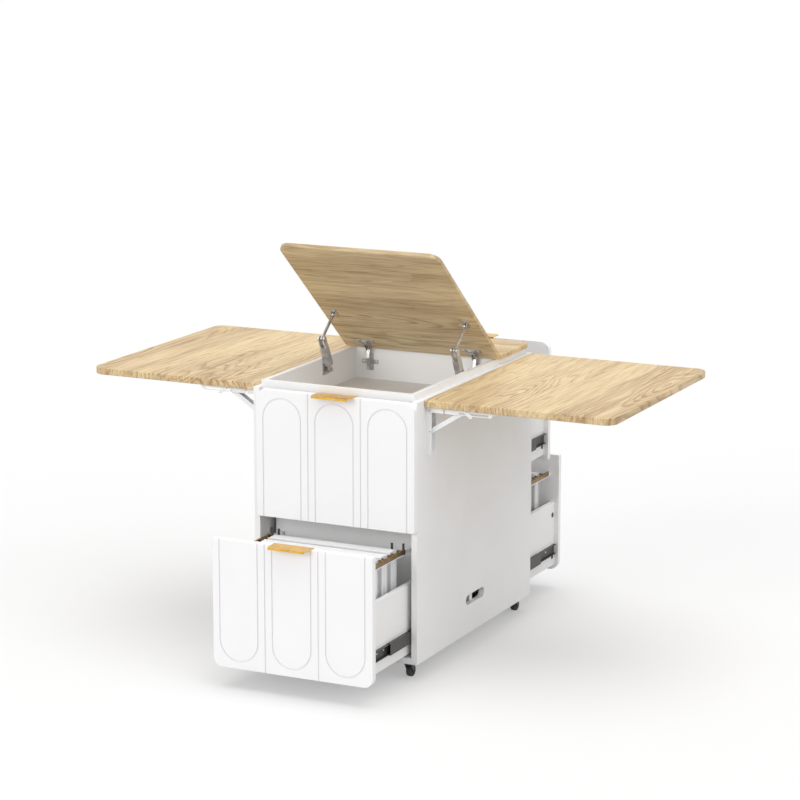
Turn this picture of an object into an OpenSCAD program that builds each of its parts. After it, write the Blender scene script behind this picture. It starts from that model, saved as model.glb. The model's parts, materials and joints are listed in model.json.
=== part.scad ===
// Fold-out desk cabinet on casters. X is to the right, Y to the back and Z up, in millimetres,
// with the origin on the floor under the middle of the carcass.
// The rest pose has the lid up, both leaves raised and three of the four drawers pulled out.

/* [Carcass] */
// Width over the two side panels
body_w = 450; // [400:1:520]
// Depth of the side panels
body_d = 704; // [690:1:800]
// Height of the side panels
side_h = 660; // [650:1:720]
// Thickness of the white panels
panel_t = 15; // [12:0.5:18]
// Length of the hand slot in each side panel
slot_l = 112; // [60:1:160]
// Height of the hand slot
slot_h = 26; // [20:1:36]
// Height of the slot's middle over the lower edge of the panel
slot_z = 88; // [50:1:130]

/* [Tray] */
// Rise of the tray rim over the side panels
rim_rise = 16; // [6:1:30]
// Thickness of the tray walls
rim_t = 12; // [9:0.5:16]
// Set-back of the rim from the front and back planes
rim_back = 14; // [5:1:30]
// Depth of the tray under its rim
tray_depth = 83; // [70:1:100]
// Thickness of the tray floor
tray_floor_t = 9; // [5:0.5:12]
// Length of the tray, from its front wall to its cross wall
tray_len = 482; // [460:1:500]

/* [Oak boards] */
// Thickness of the lid and of the fixed top board
top_t = 12; // [10:0.5:18]
// Overhang of the lid and the fixed board past the rim
top_over = 11; // [6:0.5:14]
// Length of the lid
lid_l = 498; // [480:1:505]
// Angle at which the lid stands open
lid_open = 40; // [35:1:42]
// Radius of the lid's free corners
lid_r = 28; // [10:1:40]
// Thickness of the side leaves
leaf_t = 18; // [15:0.5:22]
// Reach of a leaf away from the cabinet
leaf_w = 492; // [420:1:520]
// Length of a leaf along the cabinet
leaf_l = 658; // [600:1:680]
// Shift of the leaves towards the back
leaf_shift = 15; // [0:1:20]
// Radius of the leaves' outer corners
leaf_r = 30; // [10:1:50]
// Chamfer of the oak edges
oak_ease = 1.5; // [0.5:0.1:3]

/* [Drawers] */
// Thickness of the drawer fronts
front_t = 16; // [12:0.5:20]
// Half of what the fronts are narrower than the carcass
front_inset = 7.5; // [7.5:0.5:12]
// Shift of the fronts to the right, seen from their own end
front_shift = 7.5; // [0:0.5:7.5]
// Gap between the upper and the lower front
front_gap = 3; // [3:0.5:6]
// Radius of the rounded corners of the fronts
front_r = 25; // [10:1:40]
// Chamfer round the face of the fronts
front_ease = 1.2; // [0.8:0.2:4]
// Width of an arch
arch_w = 105; // [80:1:120]
// Margin between an arch and the rounded end of its front
arch_margin = 20; // [12:1:40]
// Width of the grooves
groove_w = 4; // [2:0.5:6]
// Depth of the grooves
groove_d = 2; // [1:0.25:4]
// Length of the drawer boxes
box_l = 300; // [260:1:320]
// Height of the drawer boxes
box_h = 178; // [140:1:200]
// Thickness of the drawer sides
box_t = 12; // [9:0.5:15]
// Drop of the file drawers' tall back under the upper edge of the front
file_back_drop = 7; // [6:1:24]
// Pull-out of the two lower drawers at rest
pull_low = 228; // [0:1:230]
// Pull-out of the rear upper drawer at rest
pull_rear_up = 149; // [0:1:230]

/* [Slides] */
// Height of the outer slide member
slide_h = 33; // [30:1:40]
// Thickness of the slide sheet
slide_t = 1.3; // [1:0.1:1.6]
// Room for a slide beside the drawer box
slide_gap = 13; // [12.7:0.1:16]
// Play between two slide members
slide_play = 0.4; // [0.3:0.05:0.6]

/* [Handles] */
// Length of a handle
handle_l = 108; // [60:1:160]
// Reach of a handle in front of its front
handle_d = 28; // [18:1:34]
// Thickness of the handle sheet
handle_t = 1.6; // [1.2:0.1:2.4]

/* [Leaf brackets] */
// Length of the wall leg
leg_l = 116; // [100:1:150]
// Width of the wall leg
leg_w = 26; // [20:1:34]
// Depth of the wall leg
leg_d = 14; // [12.5:0.5:16]
// Sheet thickness of the bracket
sheet_t = 1.6; // [1.2:0.1:2.5]
// Length of the arm under the leaf
arm_l = 176; // [168:1:220]
// Height of the arm's flanges
arm_h = 13.5; // [13:0.5:15]
// Length of the brace between its two pivots
brace_l = 99; // [90:1:104]
// Height of the brace's flanges
brace_h = 11; // [9:0.5:12]
// Drop of the brace pivot under the leaf pivot
brace_drop = 53; // [48:1:58]
// Radius of the bracket pins
pin_r = 2.5; // [2:0.25:3]

/* [Lid stays] */
// Distance between the two pivots of the stay body
stay_body_l = 98.5; // [96:0.5:101]
// Distance between the two pivots of the stay arm
stay_arm_l = 80.5; // [79:0.5:84]
// Distance from the lid's back edge to the stay bracket
stay_on_lid = 178; // [174:1:182]

/* [Casters] */
// Height from the floor to the carcass
caster_h = 44; // [42:1:60]
// Radius of the wheels
wheel_r = 15; // [12:0.5:16]
// Width of the wheels
wheel_w = 14; // [10:0.5:18]
// Trail of the axle behind the swivel pin
caster_trail = 13; // [9:0.5:15]
// Distance of the swivel pins from the outer faces and ends of the carcass
caster_in = 34; // [32:1:45]

/* [Hidden] */
$fn = 48;
eps = 0.01;
run = 0.05;           // radial clearance of a pin in its bore
gap = 0.5;            // clearance between flat faces that move past each other
white = [0.93, 0.93, 0.94];
oak = [0.85, 0.73, 0.55];
gold = [0.86, 0.62, 0.16];
zinc = [0.62, 0.62, 0.64];
dark = [0.12, 0.12, 0.13];
bronze = [0.42, 0.32, 0.18];

half_w = body_w / 2;
half_d = body_d / 2;
body_top = caster_h + side_h;
inner_x = half_w - panel_t;

rim_top = body_top + rim_rise;
rim_y = half_d - rim_back;
floor_top = rim_top - tray_depth;
tray_bottom = floor_top - tray_floor_t;
tray_x = inner_x - rim_t;
cross_y = -rim_y + rim_t + tray_len;

// Lid pivot: just under the lid's back edge and in front of the tray's cross wall
lid_lift = 0.5;
lid_drop = 5;
lid_y = cross_y - 9;
lid_z = rim_top + lid_lift - lid_drop;
top_w = 2 * (inner_x + top_over);
// The corner of the lid swings this far behind its pivot, and the fixed board starts past it
board_y0 = lid_y + lid_drop + top_t - 4;
board_y1 = half_d;

front_w = body_w - 2 * front_inset;
low_z = caster_h + 9;
front_h = (body_top - low_z - front_gap) / 2;
up_z = low_z + front_h + front_gap;
box_w = 2 * (inner_x - slide_gap);
box_x = box_w / 2;
box_z = 14;
box_floor_t = 6;
slide_z = box_z + 46;
mid_h = slide_h - 2 * slide_t - 2 * slide_play;
in_h = mid_h - 2 * slide_t - 2 * slide_play;
slide_l = box_l - 2;
rail_top = front_h - 51;
rail_h = 12;
rail_t = 3;
rail_x = box_x - box_t - rail_t;
rail_l = box_l - box_t;

leaf_x0 = half_w + 1;
leaf_z = body_top - leaf_t;
pivot_x = half_w + leg_d - 4;
pivot_z = leaf_z - 9;
bracket_in = 27;
leg_top = leaf_z - 3;
arm_w = leg_w + 2 * sheet_t + 2 * 0.6;
arm_x0 = half_w + 3;
brace_reach = sqrt(brace_l * brace_l - brace_drop * brace_drop);
brace_rise = asin(brace_drop / brace_l);
brace_w = 18;
lever_s = brace_reach + 12;

// Stay linkage in the plane across the hinge line: the clip's pin is at stay_y, stay_z, the
// bracket's pin follows the lid, and the knee is where the body and the arm meet
stay_reach = 158;
stay_y = lid_y - stay_reach;
stay_z = lid_z - 26.5;
stay_x = tray_x - 11;
stay_under = 8;
function turned(p, a) = [p[0] * cos(a) + p[1] * sin(a), -p[0] * sin(a) + p[1] * cos(a)];
bracket_rel = [-1 - stay_on_lid, lid_drop - stay_under];
bracket_p = [lid_y, lid_z] + turned(bracket_rel, lid_open);
stay_p = [stay_y, stay_z];
stay_span = norm(bracket_p - stay_p);
stay_u = (bracket_p - stay_p) / stay_span;
knee_s = (stay_body_l ^ 2 - stay_arm_l ^ 2 + stay_span ^ 2) / (2 * stay_span);
knee_h = sqrt(stay_body_l ^ 2 - knee_s ^ 2);
knee_p = stay_p + knee_s * stay_u + knee_h * [-stay_u[1], stay_u[0]];
knee_a = atan2(knee_p[1] - stay_p[1], knee_p[0] - stay_p[0]);
arm_a = atan2(bracket_p[1] - knee_p[1], bracket_p[0] - knee_p[0]);

caster_x = half_w - caster_in - 3;
caster_y = half_d - caster_in + 4;

// Outline of a w by h rectangle centred on X, its radii in the order
// bottom left, bottom right, top right, top left
module outline(w, h, r) {
    difference() {
        translate([-w / 2, 0])
            square([w, h]);
        for (i = [0:3]) {
            translate([(i == 0 || i == 3) ? -w / 2 : w / 2, i < 2 ? 0 : h])
                rotate(i * 90)
                    difference() {
                        translate([-1, -1])
                            square(r[i] + 1);
                        translate([r[i], r[i]])
                            circle(r[i]);
                    }
        }
    }
}

// Triangle that cuts a chamfer e off a corner at the origin
module chamfer_2d(e) {
    polygon([[-e - 1, 1], [1, 1], [1, -e - 1]]);
}

// Cutter that chamfers the upper edge of the outline w, h, r at height t
module edge_cutter(w, h, r, t, e) {
    centres = [[-w / 2 + r[0], r[0]], [w / 2 - r[1], r[1]],
               [w / 2 - r[2], h - r[2]], [-w / 2 + r[3], h - r[3]]];
    lengths = [w - r[0] - r[1], h - r[1] - r[2], w - r[2] - r[3], h - r[3] - r[0]];
    for (i = [0:3]) {
        translate([centres[i][0], centres[i][1], t])
            rotate(180 + i * 90)
                rotate_extrude(angle = 90)
                    translate([r[i], 0])
                        chamfer_2d(e);
        translate([centres[i][0], centres[i][1], t])
            rotate(i * 90)
                translate([0, -r[i], 0])
                    rotate([90, 0, 90])
                        mirror([1, 0, 0])
                            linear_extrude(lengths[i])
                                chamfer_2d(e);
    }
}

// Flat board in the XY plane with rounded corners and chamfered upper and lower edges
module eased_board(w, h, r, t, e_top, e_bottom) {
    difference() {
        linear_extrude(t)
            outline(w, h, r);
        edge_cutter(w, h, r, t, e_top);
        if (e_bottom > 0)
            translate([0, 0, t])
                mirror([0, 0, 1])
                    edge_cutter(w, h, r, t, e_bottom);
    }
}

module both_sides() {
    children();
    mirror([1, 0, 0])
        children();
}

// Puts a drawer piece, drawn with its front's back face at Y 0, into the front or the rear bay
module in_bay(rear, z, pull) {
    rotate(rear ? 180 : 0)
        translate([0, -half_d - pull, z])
            children();
}

// Carcass

module side_panel() {
    difference() {
        translate([half_w - panel_t, -half_d, caster_h])
            cube([panel_t, body_d, side_h]);
        for (s = [-1, 1])
            translate([half_w + 1, s * (slot_l - slot_h) / 2 - 6, caster_h + slot_z])
                rotate([0, -90, 0])
                    cylinder(r = slot_h / 2, h = panel_t + 2);
        translate([half_w - panel_t - 1, -(slot_l - slot_h) / 2 - 6, caster_h + slot_z - slot_h / 2])
            cube([panel_t + 2, slot_l - slot_h, slot_h]);
    }
}

module side_left() {
    color(white)
        mirror([1, 0, 0])
            side_panel();
}

module side_right() {
    color(white)
        side_panel();
}

module bottom_panel() {
    color(white)
        translate([-inner_x, -half_d, caster_h])
            cube([2 * inner_x, body_d, panel_t]);
}

module centre_divider() {
    color(white)
        translate([-inner_x, -panel_t / 2, caster_h + panel_t])
            cube([2 * inner_x, panel_t, tray_bottom - caster_h - panel_t]);
}

module tray_walls() {
    wall_h = rim_top - tray_bottom;
    color(white)
        difference() {
            translate([-inner_x, -rim_y, tray_bottom])
                cube([2 * inner_x, 2 * rim_y, wall_h]);
            translate([-tray_x, -rim_y + rim_t, tray_bottom - 1])
                cube([2 * tray_x, tray_len, wall_h + 2]);
            translate([-tray_x, cross_y + rim_t, tray_bottom - 1])
                cube([2 * tray_x, rim_y - rim_t - cross_y - rim_t, wall_h + 2]);
        }
}

module tray_floor() {
    color(white)
        translate([-tray_x, -rim_y + rim_t, tray_bottom])
            cube([2 * tray_x, tray_len, tray_floor_t]);
}

module rear_board() {
    color(oak)
        translate([0, board_y0, rim_top])
            eased_board(top_w, board_y1 - board_y0, [4, 4, lid_r, lid_r], top_t, oak_ease, oak_ease);
}

// Channel of height h and depth d, its web on the plane X 0 and its mouth towards +X
module channel(h, d, t, l) {
    rotate([-90, 0, 0])
        linear_extrude(l)
            difference() {
                translate([0, -h / 2])
                    square([d, h]);
                translate([t, -h / 2 + t])
                    square([d, h - 2 * t]);
            }
}

module slide_outers(rear) {
    color(dark)
        for (z = [low_z, up_z])
            in_bay(rear, z, 0)
                both_sides()
                    translate([inner_x, 1, slide_z])
                        mirror([1, 0, 0])
                            channel(slide_h, slide_gap - 2.5, slide_t, slide_l);
}

module slide_outers_front() {
    slide_outers(false);
}

module slide_outers_rear() {
    slide_outers(true);
}

// Wall legs of the leaf brackets, with the leaf pin and the brace pin

module at_brackets() {
    for (s = [-1, 1])
        translate([0, leaf_shift + s * (leaf_l / 2 - bracket_in), 0])
            mirror([0, s > 0 ? 1 : 0, 0])
                children();
}

module bracket_leg() {
    translate([half_w, 0, leg_top - leg_l])
        rotate([90, 0, 0])
            translate([0, 0, -leg_w / 2])
                difference() {
                    linear_extrude(leg_w)
                        difference() {
                            square([leg_d, leg_l]);
                            leg_corner();
                        }
                    translate([sheet_t, -1, sheet_t])
                        cube([leg_d, leg_l + 2, leg_w - 2 * sheet_t]);
                }
    translate([pivot_x, arm_w / 2 + 2, pivot_z])
        rotate([90, 0, 0]) {
            cylinder(r = pin_r, h = arm_w + 4);
            cylinder(r = pin_r + 1.5, h = 1.7);
            translate([0, 0, arm_w + 2.3])
                cylinder(r = pin_r + 1.5, h = 1.7);
        }
    // The lower pin's flat heads stay inside the arm's flanges, which fold down over them
    translate([pivot_x, leg_w / 2 + 0.3, pivot_z - brace_drop])
        rotate([90, 0, 0]) {
            cylinder(r = pin_r, h = leg_w + 0.6);
            cylinder(r = pin_r + 1.5, h = 1.2);
            translate([0, 0, leg_w - 0.6])
                cylinder(r = pin_r + 1.5, h = 1.2);
        }
}

// What the leg's cheeks lose at their upper outer corner, so that the arm turns round it
module leg_corner() {
    axis = [pivot_x - half_w, leg_l - (leg_top - pivot_z)];
    difference() {
        translate(axis)
            square(leg_d);
        translate(axis)
            circle(leg_d - axis[0] + 2.4);
    }
}

module bracket_legs_right() {
    color(white)
        at_brackets()
            bracket_leg();
}

module bracket_legs_left() {
    color(white)
        mirror([1, 0, 0])
            at_brackets()
                bracket_leg();
}

// Arm plates of the two lid hinges, on the tray's cross wall

hinge_x = tray_x - 45;
hinge_w = 8;
plate_w = 47;

module hinge_arm() {
    plate_z = rim_top - 37;
    translate([-plate_w / 2, cross_y - 2, plate_z - 5.5])
        cube([plate_w, 2, 11]);
    translate([-9, cross_y - 4, plate_z - 22])
        cube([18, 4, 45]);
    translate([-7, cross_y - 6.5, plate_z - 12])
        cube([14, 3, 32]);
    rotate([90, 0, 90])
        translate([0, 0, -hinge_w / 2])
            difference() {
                union() {
                    linear_extrude(hinge_w)
                        polygon([[cross_y - 3 + eps, plate_z - 18], [cross_y - 3 + eps, plate_z + 14],
                                 [lid_y + 3.5, lid_z - 2], [lid_y, lid_z - 4],
                                 [lid_y - 4, lid_z], [lid_y - 9, plate_z + 12],
                                 [cross_y - 12, plate_z - 4]]);
                    translate([lid_y, lid_z, 0])
                        cylinder(r = 4, h = hinge_w);
                }
                translate([0, 0, -1])
                    linear_extrude(hinge_w + 2)
                        translate([cross_y - 8, plate_z])
                            circle(2);
            }
    translate([-hinge_w / 2 - 3.5, lid_y, lid_z])
        rotate([0, 90, 0])
            cylinder(r = 2, h = hinge_w + 7);
}

module hinge_arms() {
    color(zinc)
        both_sides()
            translate([hinge_x, 0, 0])
                hinge_arm();
}

// Clips on the tray's side walls that carry the stays
clip_l = 35;
clip_h = 30;

module stay_clips() {
    color(zinc)
        both_sides() {
            translate([tray_x - 2, stay_y - clip_l / 2 - 2.5, stay_z - clip_h / 2 + 2])
                cube([2, clip_l, clip_h]);
            translate([tray_x - 1, stay_y, stay_z])
                rotate([0, -90, 0])
                    cylinder(r = pin_r, h = 17);
            translate([stay_x - 5, stay_y, stay_z])
                rotate([0, -90, 0])
                    cylinder(r = pin_r + 2, h = 2);
            translate([stay_x + 6, stay_y, stay_z])
                rotate([0, 90, 0])
                    cylinder(r = pin_r + 2, h = tray_x - stay_x - 7);
        }
}

// Pieces of the lid are drawn closed and turned up to the rest angle about the hinge line
module lid_pose() {
    translate([0, lid_y, lid_z])
        rotate([-lid_open, 0, 0])
            translate([0, -1, lid_drop])
                children();
}

module lid_board() {
    color(oak)
        lid_pose()
            translate([0, -lid_l, 0])
                eased_board(top_w, lid_l, [lid_r, lid_r, 4, 4], top_t, oak_ease, oak_ease);
}

// Hinge cup with its wings and its two side links, and the bracket that carries a stay
module lid_fitting() {
    translate([hinge_x, 0, 0]) {
        translate([-26.5, -43, -2])
            cube([53, 12, 2]);
        translate([0, -27, -1.5])
            cylinder(r = 15, h = 1.5);
        for (s = [-1, 1])
            translate([s * (hinge_w / 2 + 1.8) - 1.3, 0, 0])
                rotate([90, 0, 90])
                    difference() {
                        linear_extrude(2.6)
                            polygon([[-40, -1], [-30, -1], [-14, -1], [1, -1.5], [4.5, -3.5], [5, -6],
                                     [1, -9.5], [-4, -8], [-20, -5], [-40, -5]]);
                        translate([1, -lid_drop, -1])
                            cylinder(r = 2 + run, h = 5);
                    }
        translate([-hinge_w / 2 - 0.5, -40, -5])
            cube([hinge_w + 1, 16, 2]);
        translate([-hinge_w / 2 - 0.5, -40, -3.5])
            cube([hinge_w + 1, 3, 2]);
    }
    translate([stay_x - 9, -stay_on_lid - 14, -2])
        cube([16, 28, 2]);
    translate([stay_x + 4, -stay_on_lid - 6, -stay_under - 5])
        cube([2.4, 12, stay_under + 4]);
    translate([stay_x + 5, -stay_on_lid, -stay_under])
        rotate([0, -90, 0])
            cylinder(r = 2.5, h = 8.5);
    translate([stay_x - 3, -stay_on_lid, -stay_under])
        rotate([0, -90, 0])
            cylinder(r = 4, h = 1.5);
}

module lid_fittings() {
    color(zinc)
        lid_pose()
            both_sides()
                lid_fitting();
}

// Lid stays: a boxed body on the clip and a flat arm that meets it at the knee

// A bar piece drawn along +X from its pivot, placed in the plane X = stay_x at p and angle a
module in_stay_plane(p, a) {
    translate([stay_x, p[0], p[1]])
        rotate([90, 0, 90])
            rotate(a)
                children();
}

module stay_body() {
    in_stay_plane(stay_p, knee_a) {
        difference() {
            union() {
                translate([0, 0, -4])
                    cylinder(r = 7, h = 8);
                translate([0, -5, -4])
                    cube([18, 10, 8]);
                translate([14, -9, -8.5])
                    cube([stay_body_l - 40, 18, 17]);
                for (z = [-8.5, 5.5])
                    translate([stay_body_l - 27, -7, z])
                        cube([27, 14, 3]);
                for (z = [-8.5, 5.5])
                    translate([stay_body_l, 0, z])
                        cylinder(r = 7, h = 3);
                for (z = [-10, 8.4])
                    translate([stay_body_l, 0, z])
                        cylinder(r = 4, h = 1.6);
            }
            translate([0, 0, -6])
                cylinder(r = pin_r + run, h = 12);
            for (z = [-9.5, 7.5])
                translate([24, -3.5, z])
                    cube([stay_body_l - 60, 7, 2]);
            translate([stay_body_l - 54, -10, -3])
                cube([44, 9, 6]);
        }
    }
}

module stay_arm() {
    in_stay_plane(knee_p, arm_a)
        difference() {
            union() {
                cylinder(r = 5.5, h = 4, center = true);
                translate([0, -4, -2])
                    cube([stay_arm_l, 8, 4]);
                translate([stay_arm_l, 0, 0])
                    cylinder(r = 5.5, h = 4, center = true);
            }
            translate([stay_arm_l, 0, -3])
                cylinder(r = 2.5 + run, h = 6);
            translate([0, 0, -3])
                cylinder(r = 2.2, h = 6);
        }
}

module stay_body_left() {
    color(zinc)
        mirror([1, 0, 0])
            stay_body();
}

module stay_body_right() {
    color(zinc)
        stay_body();
}

module stay_arm_left() {
    color(zinc)
        mirror([1, 0, 0])
            stay_arm();
}

module stay_arm_right() {
    color(zinc)
        stay_arm();
}

// Side leaves

module leaf() {
    color(oak)
        translate([leaf_x0, leaf_shift, leaf_z])
            rotate(-90)
                eased_board(leaf_l, leaf_w, [4, 4, leaf_r, leaf_r], leaf_t, oak_ease, oak_ease);
}

module leaf_right() {
    leaf();
}

module leaf_left() {
    mirror([1, 0, 0])
        leaf();
}

// Arm channel under a leaf, with the slot that the brace end runs along and the lever's pin
slot_r = 2.5;
notch_s = 36;
lever_pin_r = 1.5;
lever_z = leaf_z - 3.5;

module leaf_arm() {
    far = pivot_x + arm_l - 8;
    low = leaf_z - arm_h;
    slot_end = brace_drop + brace_l + 2;
    rotate([90, 0, 0])
        translate([0, 0, -arm_w / 2])
            difference() {
                linear_extrude(arm_w)
                    polygon([[arm_x0, leaf_z], [arm_x0, low + 1], [arm_x0 + 1, low],
                             [far - 6, low], [far, leaf_z - 6], [far, leaf_z]]);
                translate([0, 0, sheet_t])
                    linear_extrude(arm_w - 2 * sheet_t)
                        polygon([[arm_x0 - 1, leaf_z - sheet_t], [arm_x0 - 1, low - 2],
                                 [far + 1, low - 2], [far + 1, leaf_z - sheet_t]]);
                translate([pivot_x, pivot_z, -1])
                    cylinder(r = pin_r + run, h = arm_w + 2);
                for (x = [brace_reach - 2, slot_end])
                    translate([pivot_x + x, pivot_z, -1])
                        cylinder(r = slot_r, h = arm_w + 2);
                translate([pivot_x + brace_reach - 2, pivot_z - slot_r, -1])
                    cube([slot_end - brace_reach + 2, 2 * slot_r, arm_w + 2]);
                translate([pivot_x + notch_s, low - 1, -1])
                    cube([5, arm_h - sheet_t - 1, arm_w + 2]);
            }
    translate([pivot_x + lever_s, -arm_w / 2 + eps, lever_z])
        rotate([90, 0, 0]) {
            cylinder(r = lever_pin_r, h = 4.2);
            translate([0, 0, 3])
                cylinder(r = lever_pin_r + 1, h = 1.2);
        }
}

module leaf_arms_right() {
    color(white)
        at_brackets()
            leaf_arm();
}

module leaf_arms_left() {
    color(white)
        mirror([1, 0, 0])
            at_brackets()
                leaf_arm();
}

// Braces: a ribbed strut from the leg's lower pin to the arm's slot
module brace() {
    translate([pivot_x, 0, pivot_z - brace_drop])
        rotate([90, 0, 0])
            rotate(brace_rise)
                difference() {
                    union() {
                        translate([0, -brace_h / 2, -brace_w / 2])
                            cube([brace_l, sheet_t, brace_w]);
                        for (z = [-brace_w / 2, brace_w / 2 - sheet_t])
                            translate([0, -brace_h / 2, z])
                                cube([brace_l, brace_h, sheet_t]);
                        translate([0, 0, -brace_w / 2])
                            cylinder(r = brace_h / 2, h = brace_w);
                        translate([brace_l, 0, -brace_w / 2])
                            cylinder(r = brace_h / 2 - 0.5, h = brace_w);
                        translate([brace_l, 0, -arm_w / 2 + sheet_t + gap])
                            cylinder(r = slot_r - 0.3, h = arm_w - 2 * sheet_t - 2 * gap);
                    }
                    translate([0, 0, -brace_w / 2 - 1])
                        cylinder(r = pin_r + run, h = brace_w + 2);
                }
}

module braces_right() {
    color(white)
        at_brackets()
            brace();
}

module braces_left() {
    color(white)
        mirror([1, 0, 0])
            at_brackets()
                brace();
}

// Release levers outside the arms
module lever() {
    translate([pivot_x + lever_s, -arm_w / 2 - gap, lever_z])
        rotate([90, 0, 0])
            difference() {
                union() {
                    cylinder(r = lever_pin_r + 1.5, h = 2);
                    linear_extrude(2)
                        polygon([[-2.9, 0.5], [2.9, 0.5], [7, -2], [19, -7.5], [19, -13.5],
                                 [12, -14], [1, -6], [-2.5, -2.5]]);
                    translate([12, -14, 0])
                        cube([7, 1.8, 8]);
                }
                translate([0, 0, -1])
                    cylinder(r = lever_pin_r + run, h = 4);
            }
}

module levers_right() {
    color(white)
        at_brackets()
            lever();
}

module levers_left() {
    color(white)
        mirror([1, 0, 0])
            at_brackets()
                lever();
}

// Drawers

module arch(r) {
    circle(r);
    translate([-r, -front_h])
        square([2 * r, front_h]);
}

module arch_groove() {
    linear_extrude(groove_d + 1)
        difference() {
            arch(arch_w / 2 + groove_w / 2);
            arch(arch_w / 2 - groove_w / 2);
        }
}

// Drawer front with its rounded end and closed arches up
module front_panel() {
    color(white)
        translate([front_shift, 0, 0])
            rotate([90, 0, 0])
                difference() {
                    eased_board(front_w, front_h, [4, 4, front_r, front_r], front_t, front_ease, 0);
                    for (i = [-1:1])
                        translate([i * front_w / 3, front_h - arch_margin - arch_w / 2, front_t - groove_d])
                            arch_groove();
                    for (s = [-1, 1])
                        translate([s * front_w / 6 - groove_w / 2, -1, front_t - groove_d])
                            cube([groove_w, front_h + 2, groove_d + 1]);
                }
}

module lower_front_panel() {
    translate([0, 0, front_h])
        mirror([0, 0, 1])
            front_panel();
}

module drawer_box(back_top) {
    color(white) {
        both_sides()
            translate([box_x - box_t, 0, box_z])
                cube([box_t, box_l - box_t, box_h]);
        translate([-box_x, box_l - box_t, box_z])
            cube([box_w, box_t, back_top - box_z]);
        translate([-box_x + box_t, 0, box_z + 8])
            cube([box_w - 2 * box_t, box_l - box_t, box_floor_t]);
    }
}

// Handle: a plate over the front's upper edge with a lip in front and a flange behind
module drawer_handle() {
    reach = -front_t - handle_d;
    color(gold)
        translate([front_shift, 0, front_h]) {
            linear_extrude(handle_t)
                polygon([[-handle_l / 2, handle_t], [-handle_l / 2, reach + 16],
                         [-handle_l / 2 + 5, reach], [handle_l / 2 - 5, reach],
                         [handle_l / 2, reach + 16], [handle_l / 2, handle_t]]);
            translate([-handle_l / 2 + 5, reach, -4])
                cube([handle_l - 10, handle_t, 4 + eps]);
            translate([-handle_l / 2, 0, -16])
                cube([handle_l, handle_t, 16 + eps]);
        }
}

module drawer_runners() {
    color(dark)
        both_sides()
            translate([box_x, 1, slide_z])
                channel(in_h, slide_gap - 2 * slide_t - 2 * gap - 1.2, slide_t, slide_l);
}

module drawer_mids() {
    color(dark)
        both_sides()
            translate([inner_x - slide_t - gap, 1, slide_z])
                mirror([1, 0, 0])
                    channel(mid_h, slide_gap - slide_t - gap - 2.5, slide_t, slide_l);
}

// File rails on the drawer's inner sides, each with an upright stop behind the last file
file_count = 4;
file_first = 58;
file_pitch = 51;
file_t = 33;
file_h = 222;
rod_t = 2;

module file_rails() {
    stop_y = file_first + (file_count - 1) * file_pitch + file_t / 2 + rod_t + 2.5;
    color(white)
        both_sides()
            translate([rail_x, 0, rail_top - rail_h]) {
                cube([rail_t, rail_l, rail_h]);
                translate([0, stop_y, 0])
                    cube([rail_t, 4, rail_h + 21]);
            }
}

// Hanging file: a filled folder between two rods whose ends lie on the rails
module hanging_file() {
    fold_w = 2 * rail_x - 24;
    color(white)
        translate([-fold_w / 2, 0, rail_top - file_h])
            rotate([90, 0, 90])
                linear_extrude(fold_w)
                    polygon([[-file_t / 2, file_h - 4], [-file_t / 2, file_h * 0.55],
                             [-file_t / 3, 3], [-file_t / 4, 0], [file_t / 4, 0], [file_t / 3, 3],
                             [file_t / 2, file_h * 0.55], [file_t / 2, file_h - 4]]);
    color(bronze)
        for (s = [-1, 1])
            translate([-rail_x - rail_t, s * (file_t / 2 + 1) - rod_t / 2, rail_top]) {
                cube([2 * rail_x + 2 * rail_t, rod_t, 3]);
                translate([rail_t + 2, 0, -7])
                    cube([2 * rail_x - 4, rod_t, 8]);
            }
}

module file_set() {
    for (i = [0:file_count - 1])
        translate([0, file_first + i * file_pitch, 0])
            hanging_file();
}

module front_up_panel() {
    in_bay(false, up_z, 0)
        front_panel();
}

module front_up_box() {
    in_bay(false, up_z, 0)
        drawer_box(box_z + box_h);
}

module front_up_handle() {
    in_bay(false, up_z, 0)
        drawer_handle();
}

module front_up_runners() {
    in_bay(false, up_z, 0)
        drawer_runners();
}

module front_up_mids() {
    in_bay(false, up_z, 0)
        drawer_mids();
}

module front_low_panel() {
    in_bay(false, low_z, pull_low)
        lower_front_panel();
}

module front_low_box() {
    in_bay(false, low_z, pull_low)
        drawer_box(front_h - file_back_drop);
}

module front_low_handle() {
    in_bay(false, low_z, pull_low)
        drawer_handle();
}

module front_low_runners() {
    in_bay(false, low_z, pull_low)
        drawer_runners();
}

module front_low_mids() {
    in_bay(false, low_z, pull_low / 2)
        drawer_mids();
}

module front_low_rails() {
    in_bay(false, low_z, pull_low)
        file_rails();
}

module front_low_files() {
    in_bay(false, low_z, pull_low)
        file_set();
}

module rear_up_panel() {
    in_bay(true, up_z, pull_rear_up)
        front_panel();
}

module rear_up_box() {
    in_bay(true, up_z, pull_rear_up)
        drawer_box(box_z + box_h);
}

module rear_up_handle() {
    in_bay(true, up_z, pull_rear_up)
        drawer_handle();
}

module rear_up_runners() {
    in_bay(true, up_z, pull_rear_up)
        drawer_runners();
}

module rear_up_mids() {
    in_bay(true, up_z, pull_rear_up / 2)
        drawer_mids();
}

module rear_low_panel() {
    in_bay(true, low_z, pull_low)
        lower_front_panel();
}

module rear_low_box() {
    in_bay(true, low_z, pull_low)
        drawer_box(front_h - file_back_drop);
}

module rear_low_handle() {
    in_bay(true, low_z, pull_low)
        drawer_handle();
}

module rear_low_runners() {
    in_bay(true, low_z, pull_low)
        drawer_runners();
}

module rear_low_mids() {
    in_bay(true, low_z, pull_low / 2)
        drawer_mids();
}

module rear_low_rails() {
    in_bay(true, low_z, pull_low)
        file_rails();
}

module rear_low_files() {
    in_bay(true, low_z, pull_low)
        file_set();
}

// Casters: a fixed plate with its kingpin, a swivel fork with the axle, and a wheel

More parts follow.
